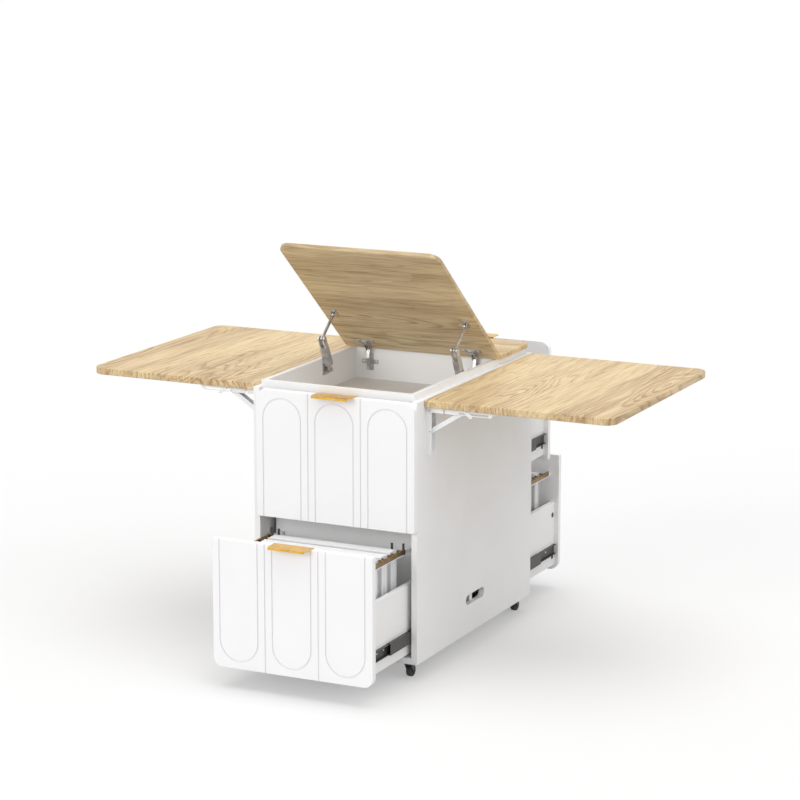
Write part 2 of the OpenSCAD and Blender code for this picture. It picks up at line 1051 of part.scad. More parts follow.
race_h = 1.8;
plate_t = 2.5;
cap_top = caster_h - plate_t - race_h - 0.3;
cap_h = 4.5;
cap_r = 12;

module at_casters() {
    for (x = [-caster_x, caster_x], y = [-caster_y, caster_y])
        translate([x, y, 0])
            children();
}

module caster_plates() {
    color(dark)
        at_casters() {
            translate([-17, -17, caster_h - plate_t])
                cube([34, 34, plate_t]);
            translate([0, 0, caster_h - plate_t - race_h])
                cylinder(r = 9, h = race_h + eps);
            translate([0, 0, cap_top - cap_h - 1])
                cylinder(r = 4, h = cap_h + race_h + 1.5);
            translate([0, 0, cap_top - cap_h - 2.3])
                cylinder(r = 6, h = 1.9);
        }
}

module fork(x, y) {
    color(dark)
        translate([x, y, 0]) {
            difference() {
                union() {
                    translate([0, 0, cap_top - cap_h])
                        cylinder(r = cap_r, h = cap_h);
                    for (s = [-1, 1])
                        translate([s * (wheel_w / 2 + 1.6) - 1, 0, 0])
                            rotate([90, 0, 90])
                                linear_extrude(2)
                                    polygon([[-7, cap_top - 1], [8, cap_top - 1],
                                             [caster_trail + 4, wheel_r + 3],
                                             [caster_trail + 4, wheel_r - 4],
                                             [caster_trail - 3, wheel_r - 4]]);
                }
                translate([0, 0, cap_top - cap_h - 1])
                    cylinder(r = 4 + run, h = cap_h + 2);
            }
            translate([-wheel_w / 2 - 3.4, caster_trail, wheel_r])
                rotate([0, 90, 0])
                    cylinder(r = 2.5, h = wheel_w + 6.8);
        }
}

module wheel(x, y) {
    color(dark)
        translate([x, y + caster_trail, wheel_r])
            rotate([0, 90, 0])
                rotate_extrude($fn = 64)
                    polygon([[2.5 + run, -wheel_w / 2], [5, -wheel_w / 2], [6, -wheel_w / 2 + 1.5],
                             [wheel_r - 4, -wheel_w / 2 + 1.5], [wheel_r - 3, -wheel_w / 2],
                             [wheel_r - 1.5, -wheel_w / 2], [wheel_r, -wheel_w / 2 + 1.5],
                             [wheel_r, wheel_w / 2 - 1.5], [wheel_r - 1.5, wheel_w / 2],
                             [wheel_r - 3, wheel_w / 2], [wheel_r - 4, wheel_w / 2 - 1.5],
                             [6, wheel_w / 2 - 1.5], [5, wheel_w / 2], [2.5 + run, wheel_w / 2]]);
}

module caster_fl() {
    fork(-caster_x, -caster_y);
}

module caster_fr() {
    fork(caster_x, -caster_y);
}

module caster_rl() {
    fork(-caster_x, caster_y);
}

module caster_rr() {
    fork(caster_x, caster_y);
}

module wheel_fl() {
    wheel(-caster_x, -caster_y);
}

module wheel_fr() {
    wheel(caster_x, -caster_y);
}

module wheel_rl() {
    wheel(-caster_x, caster_y);
}

module wheel_rr() {
    wheel(caster_x, caster_y);
}

side_left();
side_right();
bottom_panel();
centre_divider();
tray_walls();
tray_floor();
rear_board();
slide_outers_front();
slide_outers_rear();
bracket_legs_left();
bracket_legs_right();
hinge_arms();
stay_clips();
caster_plates();
lid_board();
lid_fittings();
stay_body_left();
stay_body_right();
stay_arm_left();
stay_arm_right();
leaf_left();
leaf_right();
leaf_arms_left();
leaf_arms_right();
braces_left();
braces_right();
levers_left();
levers_right();
front_up_panel();
front_up_box();
front_up_handle();
front_up_runners();
front_up_mids();
front_low_panel();
front_low_box();
front_low_handle();
front_low_runners();
front_low_mids();
front_low_rails();
front_low_files();
rear_up_panel();
rear_up_box();
rear_up_handle();
rear_up_runners();
rear_up_mids();
rear_low_panel();
rear_low_box();
rear_low_handle();
rear_low_runners();
rear_low_mids();
rear_low_rails();
rear_low_files();
caster_fl();
caster_fr();
caster_rl();
caster_rr();
wheel_fl();
wheel_fr();
wheel_rl();
wheel_rr();
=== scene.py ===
import json
import math

import bmesh
import bpy
from mathutils import Matrix, Vector

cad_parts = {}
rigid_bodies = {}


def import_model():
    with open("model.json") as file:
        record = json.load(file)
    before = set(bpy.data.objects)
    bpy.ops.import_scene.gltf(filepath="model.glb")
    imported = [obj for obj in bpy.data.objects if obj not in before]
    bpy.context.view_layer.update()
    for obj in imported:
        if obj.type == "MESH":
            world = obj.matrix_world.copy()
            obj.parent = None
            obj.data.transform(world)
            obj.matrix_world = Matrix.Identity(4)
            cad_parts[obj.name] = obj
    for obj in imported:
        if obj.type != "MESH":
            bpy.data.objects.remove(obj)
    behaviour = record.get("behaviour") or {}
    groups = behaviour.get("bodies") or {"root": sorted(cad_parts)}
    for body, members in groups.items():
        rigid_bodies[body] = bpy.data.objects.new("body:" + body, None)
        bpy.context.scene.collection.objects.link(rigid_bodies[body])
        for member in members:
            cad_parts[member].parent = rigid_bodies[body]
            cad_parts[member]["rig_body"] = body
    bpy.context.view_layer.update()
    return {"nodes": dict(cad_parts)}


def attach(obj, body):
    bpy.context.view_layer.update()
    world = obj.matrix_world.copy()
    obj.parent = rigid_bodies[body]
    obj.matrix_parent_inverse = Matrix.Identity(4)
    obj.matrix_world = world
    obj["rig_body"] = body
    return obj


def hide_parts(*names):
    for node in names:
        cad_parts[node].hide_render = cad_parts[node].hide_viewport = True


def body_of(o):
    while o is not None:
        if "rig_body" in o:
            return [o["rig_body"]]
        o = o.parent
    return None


# A fold-out desk cabinet: finishes for the parts that the frame brings, the small fittings that
# only this scene has, and the studio. Sizes are in millimetres where no comment says otherwise.

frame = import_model()
nodes = frame["nodes"]
mm = 0.001
both = (-1, 1)

# Sizes that the fittings share with the cabinet
BOX_X = 197  # outer face of a drawer box's side
LOW_Z = 53  # lower edge of the lower fronts
UP_Z = 380  # lower edge of the upper fronts
FRONT_Y = 352  # back of a closed front, from the cabinet's middle
FRONT_T = 16
PULLS = {"front_up": 0, "front_low": 228, "rear_up": 149, "rear_low": 228}  # out at rest
HINGE_X = 153  # the lid's hinges
STAY_X = 187  # the lid's stays
LID_PIVOT = Vector((0, 147, 715.5))
LID_SET = (-1, 5)  # Y and Z of the place that the lid is drawn in, from its pivot
LID_OPEN = math.radians(40)
BRACKET_Y = (-287, 317)  # the leaf brackets
PIN_X = 235  # their pins
PIN_Z = (624, 677)
CASTER_X = 188
CASTER_Y = 322

# Sizes of the file rails and files, in a drawer's own place
RAIL_TOP = 273
RAIL_X = 182  # inner face of a rail
RAIL_T = 3
RAIL_END = 288  # its back end
NOTCH_PITCH = 17
FILE_FIRST = 58
FILE_PITCH = 51
FILE_COUNT = 4
FILE_T = 33
FILE_HANG = 222  # how far a file hangs under the top of its rail
CARD_REACH = 170  # half the width of a card sleeve


# Node trees. Their places and scales are in metres.

def set_socket(tree, node, name, value):
    """Links another node's output to an input, or sets the input to a plain value."""
    socket = node.inputs[name.replace("_", " ") if isinstance(name, str) else name]
    if isinstance(value, bpy.types.NodeSocket):
        tree.links.new(value, socket)
    else:
        socket.default_value = value


def add_node(tree, kind, **sockets):
    node = tree.nodes.new(kind)
    for name, value in sockets.items():
        set_socket(tree, node, name, value)
    return node


def noise(tree, vector, scale, detail=2.0, roughness=0.5):
    node = add_node(tree, "ShaderNodeTexNoise", Vector=vector, Scale=scale, Detail=detail,
                    Roughness=roughness)
    return node.outputs["Fac"]


def stretched_noise(tree, vector, stretch, detail=2.0, roughness=0.5):
    """Noise with a scale of its own along each axis."""
    scaled = add_node(tree, "ShaderNodeMapping", Vector=vector, Scale=stretch)
    return noise(tree, scaled.outputs["Vector"], 1.0, detail, roughness)


def spread(tree, value, low, high, to_low=0.0, to_high=1.0):
    """Eases a value that runs from low to high into one that runs from to_low to to_high."""
    node = tree.nodes.new("ShaderNodeMapRange")
    node.interpolation_type = "SMOOTHSTEP"
    for name, v in (("Value", value), ("From Min", low), ("From Max", high),
                    ("To Min", to_low), ("To Max", to_high)):
        set_socket(tree, node, name, v)
    return node.outputs["Result"]


def reckon(tree, operation, a, b=0.0):
    node = tree.nodes.new("ShaderNodeMath")
    node.operation = operation
    set_socket(tree, node, 0, a)
    set_socket(tree, node, 1, b)
    return node.outputs["Value"]


def plus(tree, a, b):
    return reckon(tree, "ADD", a, b)


def times(tree, a, b):
    return reckon(tree, "MULTIPLY", a, b)


def mixed(tree, factor, a, b):
    """Mixes two colours: they are inputs 6 and 7 and output 2 of a Mix node."""
    node = tree.nodes.new("ShaderNodeMix")
    node.data_type = "RGBA"
    for index, value in ((0, factor), (6, a), (7, b)):
        set_socket(tree, node, index, value)
    return node.outputs[2]


def new_group(name, inputs, outputs):
    """A shader node group. Every input is set or linked wherever the group is placed."""
    group = bpy.data.node_groups.new(name, "ShaderNodeTree")
    for in_out, sockets in (("INPUT", inputs), ("OUTPUT", outputs)):
        for title, kind in sockets.items():
            group.interface.new_socket(title, in_out=in_out, socket_type="NodeSocket" + kind)
    given = group.nodes.new("NodeGroupInput").outputs
    return group, given, group.nodes.new("NodeGroupOutput")


def give(group, out, **results):
    for title, value in results.items():
        group.links.new(value, out.inputs[title])
    return group


def oak_figure_group():
    """Plain-sawn oak along Y: pale and tan bands, growth rings, fine streaks and short pores."""
    group, given, out = new_group(
        "oak figure", {"Vector": "Vector", "Pale": "Color", "Tan": "Color", "Pore": "Color"},
        {"Color": "Color", "Roughness": "Float", "Height": "Float"})
    here = given["Vector"]

    # The rings are level lines of a slow field, ruffled by a wave, and they fade in patches
    ring_count, ruffle = 38.0, 1.5
    field = stretched_noise(group, here, (5.5, 0.8, 3.0), roughness=0.45)
    wave = stretched_noise(group, here, (34.0, 9.0, 12.0))
    level = plus(group, times(group, field, ring_count), times(group, wave, ruffle))
    patch = stretched_noise(group, here, (5.0, 0.9, 3.0), detail=1.0)
    ring = times(group, spread(group, reckon(group, "FRACT", level), 0.4, 0.95),
                 spread(group, patch, 0.4, 0.6, 0.25, 1.0))
    band = stretched_noise(group, here, (14.0, 1.3, 6.0), 4.0, 0.55)
    streak = stretched_noise(group, here, (190.0, 6.0, 60.0), 3.0, 0.6)

    # Rings, bands and streaks darken the wood from pale to tan, and pores darken it further.
    # Between its streaks the wood is a little lighter.
    ring_share, band_share, streak_share, between_share, pore_share = 0.6, 0.4, 0.36, -0.08, 0.85
    tone = plus(group, times(group, ring, ring_share),
                times(group, spread(group, band, 0.4, 0.6), band_share))
    tone = plus(group, tone, spread(group, streak, 0.38, 0.66, between_share, streak_share))
    pore = stretched_noise(group, here, (430.0, 15.0, 150.0), roughness=0.55)
    pore = times(group, spread(group, pore, 0.56, 0.7), spread(group, ring, 0.0, 0.6, 0.3, 1.0))
    color = mixed(group, tone, given["Pale"], given["Tan"])
    color = mixed(group, times(group, pore, pore_share), color, given["Pore"])
    height = reckon(group, "SUBTRACT", times(group, streak, 0.35), times(group, pore, 0.7))
    return give(group, out, Color=color, Height=height,
                Roughness=spread(group, streak, 0.3, 0.7, 0.44, 0.54))


def fine_skin_group():
    """A sprayed or moulded surface: faint patches in the sheen and a fine even texture."""
    group, given, out = new_group(
        "fine skin",
        {"Vector": "Vector", "Grain": "Float", "Sheen low": "Float", "Sheen high": "Float"},
        {"Roughness": "Float", "Height": "Float", "Tone": "Float"})
    patches = stretched_noise(group, given["Vector"], (7.0, 7.0, 7.0), 4.0)
    sheen = spread(group, patches, 0.35, 0.65, given["Sheen low"], given["Sheen high"])
    return give(group, out, Roughness=sheen, Height=noise(group, given["Vector"], given["Grain"]),
                Tone=spread(group, patches, 0.3, 0.7))


def brushed_group():
    """Fine parallel scratches along one direction of a metal surface."""
    group, given, out = new_group(
        "brushed",
        {"Vector": "Vector", "Stretch": "Vector", "Sheen low": "Float", "Sheen high": "Float"},
        {"Roughness": "Float", "Height": "Float", "Tone": "Float"})
    lines = stretched_noise(group, given["Vector"], given["Stretch"], 3.0, 0.7)
    blotch = noise(group, given["Vector"], 60.0, 3.0)
    sheen = spread(group, lines, 0.3, 0.7, given["Sheen low"], given["Sheen high"])
    return give(group, out, Roughness=sheen, Height=lines, Tone=spread(group, blotch, 0.35, 0.65))


def painted_groove_shade_group():
    """Painted shade in the grooves of a front whose outer plane is square to Y, at Face from 0:
    the grooves' walls and floor are darkened where shadow falls.
    """
    group, given, out = new_group("painted groove shade", {"Vector": "Vector", "Face": "Float"},
                                  {"Dust": "Float"})
    place = add_node(group, "ShaderNodeSeparateXYZ", Vector=given["Vector"])
    out_from_middle = reckon(group, "ABSOLUTE", place.outputs["Y"])
    depth = reckon(group, "SUBTRACT", given["Face"], out_from_middle)
    sunk = spread(group, depth, 0.3 * mm, 1.2 * mm)
    in_groove = spread(group, depth, 2.2 * mm, 3 * mm, 1.0, 0.0)
    return give(group, out, Dust=times(group, sunk, in_groove))


OAK_FIGURE = oak_figure_group()
FINE_SKIN = fine_skin_group()
BRUSHED = brushed_group()
PAINTED_GROOVE_SHADE = painted_groove_shade_group()


# Finishes

def placed_group(tree, group, vector, **values):
    node = tree.nodes.new("ShaderNodeGroup")
    node.node_tree = group
    tree.links.new(vector, node.inputs["Vector"])
    for name, value in values.items():
        set_socket(tree, node, name, value)
    return node.outputs


def finish_material(name, metallic=0.0):
    material = bpy.data.materials.new(name)
    material.use_nodes = True
    tree = material.node_tree
    shader = tree.nodes["Principled BSDF"]
    shader.inputs["Metallic"].default_value = metallic
    where = tree.nodes.new("ShaderNodeTexCoord").outputs["Object"]
    return material, tree, shader, where


def dress(tree, shader, color, got, strength, distance=0.2 * mm):
    """Links a colour to the shader, with the sheen and the relief that a group put out."""
    bump = add_node(tree, "ShaderNodeBump", Height=got["Height"], Strength=strength,
                    Distance=distance)
    tree.links.new(color, shader.inputs["Base Color"])
    tree.links.new(got["Roughness"], shader.inputs["Roughness"])
    tree.links.new(bump.outputs["Normal"], shader.inputs["Normal"])


def opaque(color, tint=(1, 1, 1)):
    return [part * share for part, share in zip(color, tint)] + [1]


OAK_COLORS = {"Pale": (0.75, 0.58, 0.325), "Tan": (0.41, 0.258, 0.123),
              "Pore": (0.23, 0.125, 0.057)}
# The colour of the painted shade in the fronts' grooves
GROOVE_SHADE_COLOR = (0.83, 0.823, 0.836)


def oak(name, turn=(0, 0, 0), shift=(0, 0, 0), tint=(1, 1, 1)):
    material, tree, shader, where = finish_material(name)
    turned = add_node(tree, "ShaderNodeMapping", Vector=where, Rotation=turn, Location=shift)
    colors = {title: opaque(color, tint) for title, color in OAK_COLORS.items()}
    got = placed_group(tree, OAK_FIGURE, turned.outputs["Vector"], **colors)
    dress(tree, shader, got["Color"], got, 0.25, 0.4 * mm)
    return material


def lacquer(name, pale, shade, sheen, grain=900.0, strength=0.06, face=None):
    """Any surface with a fine skin. A grooved front also gives the distance of its face, and its
    grooves get painted shade.
    """
    material, tree, shader, where = finish_material(name)
    got = placed_group(tree, FINE_SKIN, where, Grain=grain, Sheen_low=sheen[0],
                       Sheen_high=sheen[1])
    color = mixed(tree, got["Tone"], opaque(pale), opaque(shade))
    # Painted shade: a front's grooves are darkened where shadow falls in them
    if face:
        groove_shade = placed_group(tree, PAINTED_GROOVE_SHADE, where, Face=face)["Dust"]
        color = mixed(tree, groove_shade, color, opaque(GROOVE_SHADE_COLOR))
    dress(tree, shader, color, got, strength)
    return material


def metal(name, pale, shade, sheen, stretch):
    material, tree, shader, where = finish_material(name, metallic=1.0)
    got = placed_group(tree, BRUSHED, where, Stretch=stretch, Sheen_low=sheen[0],
                       Sheen_high=sheen[1])
    color = mixed(tree, got["Tone"], opaque(pale), opaque(shade))
    dress(tree, shader, color, got, 0.1)
    return material


ALONG_X = (20.0, 900.0, 900.0)
ALONG_Y = (900.0, 60.0, 900.0)
ALONG_Z = (300.0, 300.0, 40.0)
QUARTER = math.pi / 2

BOARDS = {
    "leaf_right": oak("oak_leaf_right"),
    "leaf_left": oak("oak_leaf_left", shift=(0.37, 0.21, 0.1)),
    "rear_board": oak("oak_rear_board", turn=(0, 0, QUARTER), shift=(0.6, 0.1, 0.3)),
    # The lid's oak is tinted darker, most in red: painted shade for its underside, which faces
    # down
    "lid_board": oak("oak_lid", turn=(LID_OPEN, 0, QUARTER), shift=(0.15, 0.4, 0.7),
                     tint=(0.9, 0.94, 1.0))}
WHITE_FRONT = {
    drawer: lacquer("white_" + drawer, (0.92, 0.917, 0.924), (0.905, 0.902, 0.91), (0.34, 0.42),
                    face=(FRONT_Y + FRONT_T + pulled) * mm)
    for drawer, pulled in PULLS.items()}
WHITE_PANEL = lacquer("white_panel", (0.89, 0.886, 0.883), (0.87, 0.866, 0.863), (0.5, 0.62),
                      grain=700.0)
WHITE_METAL = lacquer("white_bracket", (0.9, 0.9, 0.905), (0.87, 0.87, 0.878), (0.28, 0.36),
                      grain=1500.0, strength=0.1)
# The panels' white painted darker for the tray's floor: painted shade at the bottom of the tray
SHADED_TRAY_WHITE = lacquer("white_tray_painted_shade", (0.73, 0.718, 0.705), (0.7, 0.69, 0.68), (0.5, 0.62),
                     grain=700.0)
GOLD = metal("gold_handle", (0.8, 0.48, 0.075), (0.68, 0.38, 0.055), (0.2, 0.34), ALONG_X)
ZINC = metal("zinc", (0.62, 0.61, 0.6), (0.46, 0.45, 0.44), (0.4, 0.56), ALONG_Z)
BRIGHT = metal("bright_zinc", (0.78, 0.78, 0.8), (0.66, 0.66, 0.69), (0.16, 0.3), ALONG_Z)
BRONZE = metal("bronze_bars", (0.34, 0.235, 0.115), (0.24, 0.16, 0.08), (0.32, 0.48), ALONG_Y)
BLACK_STEEL = lacquer("black_slide", (0.032, 0.031, 0.03), (0.05, 0.048, 0.045), (0.36, 0.48),
                      grain=1200.0)
BLACK_PLASTIC = lacquer("black_plastic", (0.02, 0.02, 0.022), (0.035, 0.035, 0.037), (0.3, 0.45),
                        grain=500.0)
RUBBER = lacquer("black_tread", (0.025, 0.025, 0.026), (0.045, 0.045, 0.046), (0.6, 0.75),
                 grain=700.0, strength=0.2)
CARD = lacquer("folder_card", (0.8, 0.8, 0.81), (0.75, 0.75, 0.765), (0.6, 0.75),
               grain=260.0, strength=0.25)
PAPER = lacquer("white_sheets", (0.88, 0.88, 0.885), (0.84, 0.84, 0.85), (0.65, 0.8),
                grain=400.0, strength=0.2)


def finish_of(name):
    """The finish of a part that the frame brings, by its name."""
    if name in BOARDS:
        return BOARDS[name]
    if name.removesuffix("_panel") in PULLS:
        return WHITE_FRONT[name.removesuffix("_panel")]
    if name.startswith(("bracket_legs", "leaf_arms", "braces", "levers")):
        return WHITE_METAL
    if name.startswith(("stay_", "hinge_arms", "lid_fittings")):
        return ZINC
    if name.startswith("slide_outers") or name.endswith(("_mids", "_runners")):
        return BLACK_STEEL
    if name.startswith("caster"):
        return BLACK_PLASTIC
    if name.startswith("wheel"):
        return RUBBER
    if name.endswith("_handle"):
        return GOLD
    # The tray's floor takes the white with painted shade
    return SHADED_TRAY_WHITE if name == "tray_floor" else WHITE_PANEL


for name, node in nodes.items():
    for slot in node.material_slots:
        slot.material = finish_of(name)


# Modelling

SMOOTH_UNDER = math.radians(40)
SQUARE = 0.9  # the least share of a face's normal that counts as facing along an axis


def start_clean():
    if bpy.context.object and bpy.context.object.mode != "OBJECT":
        bpy.ops.object.mode_set(mode="OBJECT")
    bpy.ops.object.select_all(action="DESELECT")


def only(obj):
    start_clean()
    obj.select_set(True)
    bpy.context.view_layer.objects.active = obj


def edit_faces():
    bpy.ops.object.mode_set(mode="EDIT")
    bpy.ops.mesh.select_mode(type="FACE")
    return bpy.context.object


def settle(obj, material):
    """Puts a piece's place into its mesh and gives it its finish."""
    only(obj)
    bpy.ops.object.transform_apply(location=True, rotation=True, scale=True)
    bpy.ops.object.shade_smooth_by_angle(angle=SMOOTH_UNDER)
    obj.data.materials.clear()
    obj.data.materials.append(material)
    return obj


def join_pieces(parts, name):
    start_clean()
    for part in parts:
        part.select_set(True)
    bpy.context.view_layer.objects.active = parts[0]
    if len(parts) > 1:
        bpy.ops.object.join()
    joined = bpy.context.view_layer.objects.active
    joined.name = name
    joined.data.name = name
    return joined


def block(low, high):
    """A block between two corners, left in edit mode to be shaped."""
    start_clean()
    bpy.ops.mesh.primitive_cube_add(size=1, location=[(a + b) / 2 * mm for a, b in zip(low, high)],
                                    scale=[(b - a) * mm for a, b in zip(low, high)])
    bpy.ops.object.transform_apply(location=True, rotation=True, scale=True)
    return edit_faces()


def disc(radius, height, sides):
    """A disc on the XY plane, left in edit mode with its top selected. facing() scales it."""
    start_clean()
    bpy.ops.mesh.primitive_cylinder_add(vertices=sides, radius=radius, depth=height,
                                        location=(0, 0, height / 2))
    made = edit_faces()
    pick(lambda at, normal: normal.z > SQUARE)
    return made


def pick(wanted):
    """Selects the faces of the shape in edit mode whose centre and normal suit."""
    mesh = bpy.context.object.data
    bpy.ops.mesh.select_all(action="DESELECT")
    shape = bmesh.from_edit_mesh(mesh)
    for face in shape.faces:
        if wanted(face.calc_center_median() / mm, face.normal):
            face.select_set(True)
    bmesh.update_edit_mesh(mesh)


def cut_at(axis, *places):
    """Cuts the whole shape in edit mode across one axis, at each place."""
    for place in places:
        point, normal = [0, 0, 0], [0, 0, 0]
        point[axis] = place * mm
        normal[axis] = 1
        bpy.ops.mesh.select_all(action="SELECT")
        bpy.ops.mesh.bisect(plane_co=point, plane_no=normal)


def pull(x=0, y=0, z=0):
    """Extrudes the selected faces."""
    bpy.ops.mesh.extrude_region_move(TRANSFORM_OT_translate={"value": (x * mm, y * mm, z * mm)})


def applied(obj, kind, **settings):
    """The piece in object mode, with one modifier added, set and applied."""
    only(obj)
    modifier = obj.modifiers.new(kind, kind)
    for name, value in settings.items():
        setattr(modifier, name, value)
    bpy.ops.object.modifier_apply(modifier=kind)
    return obj


def ease(obj, width, segments=2):
    return applied(obj, "BEVEL", width=width * mm, segments=segments, limit_method="ANGLE")


def recessed_screw():
    """A domed screw head of radius 1 and height 0.5 on the XY plane, with a cross recess."""
    start_clean()
    bpy.ops.mesh.primitive_cylinder_add(vertices=24, radius=1.0, depth=0.5, location=(0, 0, 0.25))
    head = applied(bpy.context.object, "BEVEL", width=0.3, segments=4, limit_method="ANGLE")
    for turn in (0, QUARTER):
        start_clean()
        bpy.ops.mesh.primitive_cube_add(size=1, location=(0, 0, 0.42), rotation=(0, 0, turn),
                                        scale=(1.1, 0.2, 0.3))
        blade = bpy.context.object
        applied(head, "BOOLEAN", operation="DIFFERENCE", object=blade)
        bpy.data.objects.remove(blade)
    return head


def rivet():
    """A plain domed pin head of radius 1 and height 0.3 on the XY plane."""
    head = disc(1.0, 0.3, sides=24)
    bpy.ops.mesh.bevel(offset=0.14, segments=3, affect="EDGES")
    bpy.ops.object.mode_set(mode="OBJECT")
    return head


def cam_cap():
    """The moulded cap over a cam lock: a thin disc with a stepped rim and a sunk middle."""
    cap = disc(7.0, 1.0, sides=32)
    for rim, step in ((1.2, -0.4), (2.6, 0.25)):
        bpy.ops.mesh.inset(thickness=rim)
        bpy.ops.transform.translate(value=(0, 0, step))
    bpy.ops.object.mode_set(mode="OBJECT")
    return cap


SCREW = recessed_screw()
RIVET = rivet()
CAP = cam_cap()


def copied(source, place):
    piece = source.copy()
    piece.data = source.data.copy()
    bpy.context.collection.objects.link(piece)
    piece.matrix_world = place
    return piece


def facing(point, direction, size):
    """A placement at a point that stands the local Z axis along direction, size times as big."""
    turn = Vector(direction).to_track_quat("Z", "Y").to_matrix().to_4x4()
    return Matrix.Translation(Vector(point) * mm) @ turn @ Matrix.Scale(size * mm, 4)


def fit_heads(name, places, body, material, source=SCREW):
    """places holds (point, direction, radius) for each screw or pin head."""
    parts = [copied(source, facing(*place)) for place in places]
    piece = settle(join_pieces(parts, name), material)
    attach(piece, body)


# Screws and pin heads of the hinges, stays, leaf brackets and casters

def on_lid(x, y, z):
    """A point drawn on the closed lid, carried up with it to the rest angle."""
    y, z = y + LID_SET[0], z + LID_SET[1]
    c, s = math.cos(LID_OPEN), math.sin(LID_OPEN)
    return (x, LID_PIVOT.y + y * c + z * s, LID_PIVOT.z - y * s + z * c)


# Radii of the heads
WIDE_HEAD = 3.2
PLATE_HEAD = 3.0
MEDIUM_HEAD = 2.6
SMALL_HEAD = 2.4
CASTER_HEAD = 2.2

FITTING_Z = -2  # underside of the sheet of the lid's fittings
CUP_Y = -37
CUP_SCREW = 20.5  # a screw's distance from the middle of its fitting, here and below
STAY_FOOT_X = STAY_X - 1
STAY_FOOT_Y = -178
STAY_FOOT_SCREW = 9
HINGE_PLATE_SCREW = 18
HINGE_PLATE = (154, 683)  # Y and Z, as in the next two
HINGE_LOW_SCREW = (152, 665)
CLIP_SCREWS = ((-31, 697), (1, 700))
CLIP_X = 197
FORWARD = (0, -1, 0)
DOWN = (0, 0, -1)
LID_DOWN = (0, -math.sin(LID_OPEN), -math.cos(LID_OPEN))

lid_screws = []
tray_screws = []
for side in both:
    for dx in (-CUP_SCREW, CUP_SCREW):
        cup = on_lid(side * HINGE_X + dx, CUP_Y, FITTING_Z)
        lid_screws.append((cup, LID_DOWN, WIDE_HEAD))
    for dy in (-STAY_FOOT_SCREW, STAY_FOOT_SCREW):
        foot = on_lid(side * STAY_FOOT_X, STAY_FOOT_Y + dy, FITTING_Z)
        lid_screws.append((foot, LID_DOWN, MEDIUM_HEAD))
    for dx in (-HINGE_PLATE_SCREW, HINGE_PLATE_SCREW):
        tray_screws.append(((side * HINGE_X + dx, *HINGE_PLATE), FORWARD, PLATE_HEAD))
    tray_screws.append(((side * (HINGE_X + 4), *HINGE_LOW_SCREW), FORWARD, SMALL_HEAD))
    # Sunk into the clip, because the stay's body passes half a millimetre in front of it
    for y, z in CLIP_SCREWS:
        tray_screws.append(((side * CLIP_X, y, z), (-side, 0, 0), MEDIUM_HEAD))
fit_heads("lid_screws", lid_screws, "lid", BRIGHT)
fit_heads("tray_screws", tray_screws, "carcass", BRIGHT)

LEG_FACE = 226.6
LEG_SCREW_Z = (578, 600, 652)
PIN_ENDS = (13.25, 17.15)  # how far each pin reaches from the bracket's middle
PIN_HEADS = (2.2, 3.0)  # radii

leg_screws = []
leg_pins = []
for side in both:
    for y in BRACKET_Y:
        for z in LEG_SCREW_Z:
            leg_screws.append(((side * LEG_FACE, y, z), (side, 0, 0), WIDE_HEAD))
        for cheek in both:
            for z, reach, radius in zip(PIN_Z, PIN_ENDS, PIN_HEADS):
                leg_pins.append(((side * PIN_X, y + cheek * reach, z), (0, cheek, 0), radius))
fit_heads("leg_screws", leg_screws, "carcass", BRIGHT)
fit_heads("leg_pins", leg_pins, "carcass", ZINC, RIVET)

ARM_UNDER = 684.4
ARM_SCREW_X = (262, 372, 392)
for side, word in zip(both, ("left", "right")):
    arm_screws = [((side * x, y, ARM_UNDER), DOWN, WIDE_HEAD)
                  for y in BRACKET_Y for x in ARM_SCREW_X]
    fit_heads("arm_screws_" + word, arm_screws, "leaf_" + word, BRIGHT)

PLATE_UNDER = 41.5
PLATE_SCREW = 13
plate_screws = [((x * CASTER_X + dx * PLATE_SCREW, y * CASTER_Y + dy * PLATE_SCREW, PLATE_UNDER),
                 DOWN, CASTER_HEAD) for x in both for y in both for dx in both for dy in both]
fit_heads("caster_screws", plate_screws, "carcass", ZINC)


# Drawer fittings are drawn in the drawer's own place: Y from the back of its front, Z from its
# lower edge. That place is turned round for the rear drawers.

def in_bay(drawer, travel=1.0):
    """Where a drawer's own place is at rest. travel 0.5 is for the slides' middle members."""
    base = LOW_Z if drawer.endswith("low") else UP_Z
    place = Matrix.Translation(Vector((0, -FRONT_Y - PULLS[drawer] * travel, base)) * mm)
    return Matrix.Rotation(math.pi, 4, "Z") @ place if drawer.startswith("rear") else place


def fitted(sources, drawer, name, material, stands_for=None, travel=1.0, body="drawer_"):
    """Copies of sources joined in a drawer's place. body is the first part of its body's name."""
    parts = [copied(source, in_bay(drawer, travel) @ source.matrix_world) for source in sources]
    piece = settle(join_pieces(parts, drawer + "_" + name), material)
    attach(piece, body + drawer)
    if stands_for:
        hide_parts(drawer + stands_for)


def rail():
    """A flat rail from the front to the back of the drawer, with a foot turned in at each end."""
    height, foot, foot_in = 9, 12, 9
    bar = block((RAIL_X, 0, RAIL_TOP - height), (RAIL_X + RAIL_T, RAIL_END, RAIL_TOP))
    cut_at(1, foot, RAIL_END - foot)
    pick(lambda at, normal: normal.x < -SQUARE and (at.y < foot or at.y > RAIL_END - foot))
    pull(x=-foot_in)
    return ease(bar, 0.5)


RACK_START = 12
RACK_END = 236


